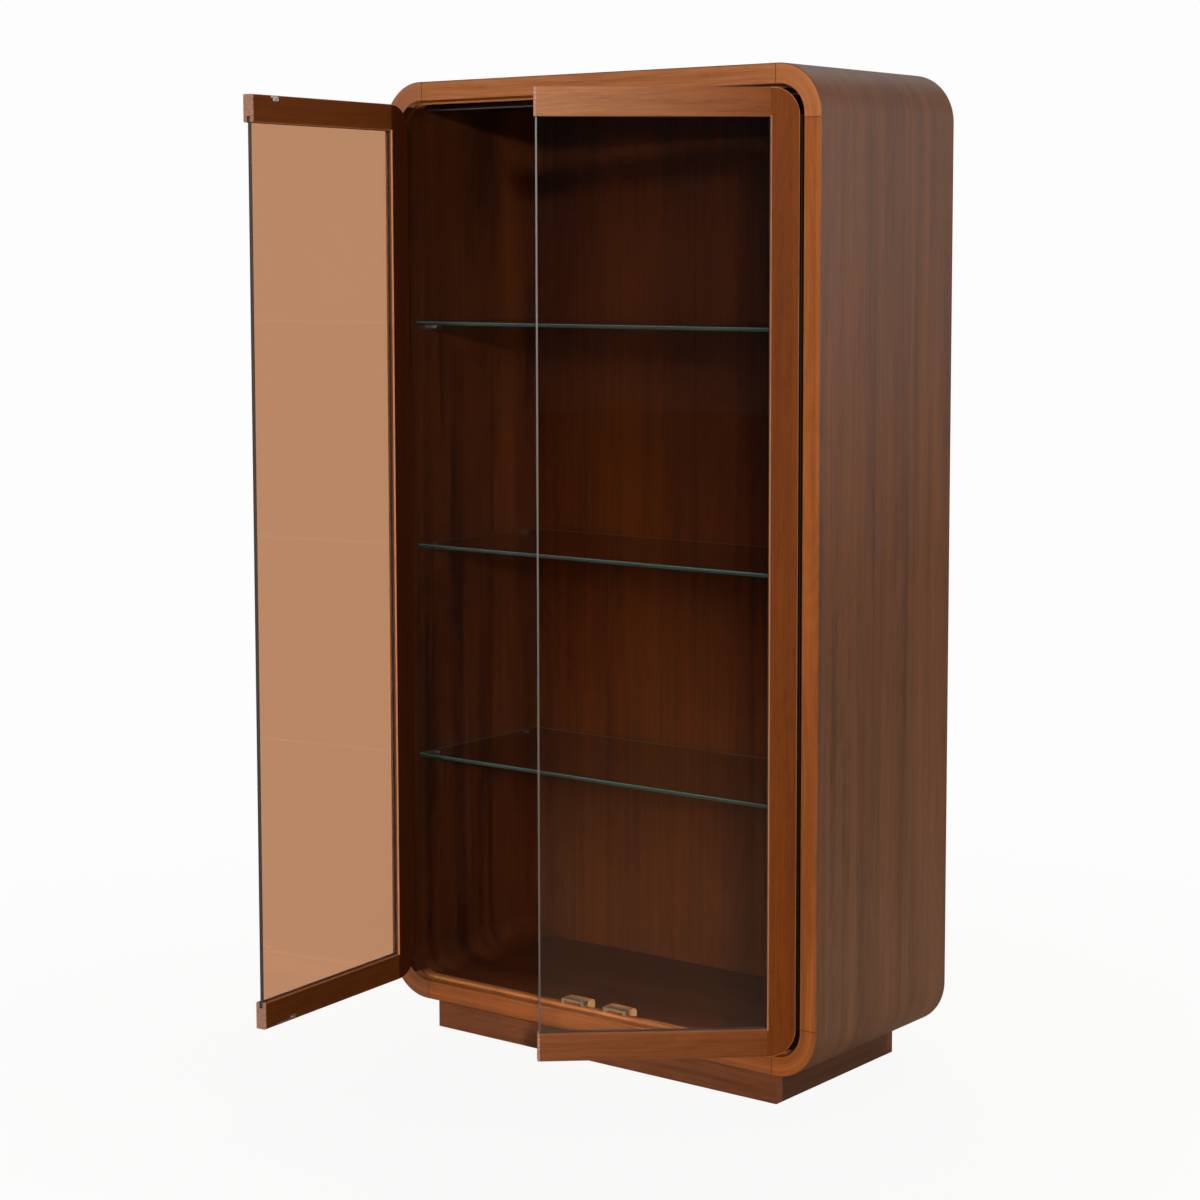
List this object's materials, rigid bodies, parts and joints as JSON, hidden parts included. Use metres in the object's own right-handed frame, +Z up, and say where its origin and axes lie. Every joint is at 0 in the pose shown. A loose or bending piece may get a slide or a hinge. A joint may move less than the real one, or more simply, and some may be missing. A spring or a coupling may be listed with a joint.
{
  "type": "display case",
  "caption": "Tall walnut display case with rounded corners, a recessed plinth, glass shelves and two glazed doors that swing open on full-height hinges.",
  "frame": {"origin": "middle of the plinth's footprint, on the floor", "axes": "+Z up, +X to the right seen from the front, +Y from the doors towards the back panel"},
  "size_m": [0.9, 0.8125, 1.66],
  "materials": {
    "case_walnut": "satin walnut veneer",
    "panel_walnut": "satin walnut veneer, upright grain",
    "plinth_walnut": "satin walnut veneer, level grain",
    "door_walnut": "satin walnut veneer",
    "stop_walnut": "satin walnut strip",
    "door_glass": "clear with a faint bronze tint",
    "shelf_glass": "clear with green edges",
    "seal_rubber": "black, matte",
    "bright_steel": "bright plated",
    "bronze_hinge": "dark bronze",
    "light_aluminium": "satin anodised",
    "diffuser_plastic": "frosted",
    "cap_plastic": "grey",
    "catch_plastic": "tan"
  },
  "bodies": {
    "cabinet": {"top_panel": "case_walnut", "bottom_panel": "case_walnut", "left_side_panel": "panel_walnut", "right_side_panel": "panel_walnut", "top_left_corner": "case_walnut", "top_right_corner": "case_walnut", "bottom_left_corner": "case_walnut", "bottom_right_corner": "case_walnut", "back_panel": "panel_walnut", "top_stop": "stop_walnut", "bottom_stop": "stop_walnut", "left_stop": "stop_walnut", "right_stop": "stop_walnut", "top_left_stop_corner": "stop_walnut", "top_right_stop_corner": "stop_walnut", "bottom_left_stop_corner": "stop_walnut", "bottom_right_stop_corner": "stop_walnut", "plinth_front": "plinth_walnut", "plinth_rear": "plinth_walnut", "plinth_left": "plinth_walnut", "plinth_right": "plinth_walnut", "plinth_bearer": "plinth_walnut", "bottom_shelf": "shelf_glass", "middle_shelf": "shelf_glass", "top_shelf": "shelf_glass", "shelf_supports": "bright_steel", "light_profile": "light_aluminium", "light_diffuser": "diffuser_plastic", "light_end_caps": "cap_plastic", "catch_housings": "catch_plastic", "catch_poles": "bright_steel", "left_case_leaf": "bronze_hinge", "left_hinge_pin": "bronze_hinge", "right_case_leaf": "bronze_hinge", "right_hinge_pin": "bronze_hinge"},
    "left_door": {"left_stile": "door_walnut", "left_top_rail": "door_walnut", "left_bottom_rail": "door_walnut", "left_glass": "door_glass", "left_glazing_channel": "seal_rubber", "left_strikes": "bright_steel", "left_door_leaf": "bronze_hinge"},
    "right_door": {"right_stile": "door_walnut", "right_top_rail": "door_walnut", "right_bottom_rail": "door_walnut", "right_glass": "door_glass", "right_glazing_channel": "seal_rubber", "right_strikes": "bright_steel", "right_door_leaf": "bronze_hinge"}
  },
  "joints": [
    {"name": "left_door_hinge", "type": "hinge", "parent": "cabinet", "child": "left_door", "pos_m": [-0.415, -0.201, 0.858], "axis": [0, 0, -1], "range_deg": [-85.2, 84.8]},
    {"name": "right_door_hinge", "type": "hinge", "parent": "cabinet", "child": "right_door", "pos_m": [0.415, -0.201, 0.858], "axis": [0, 0, 1], "range_deg": [-41.3, 128.7]}
  ]
}
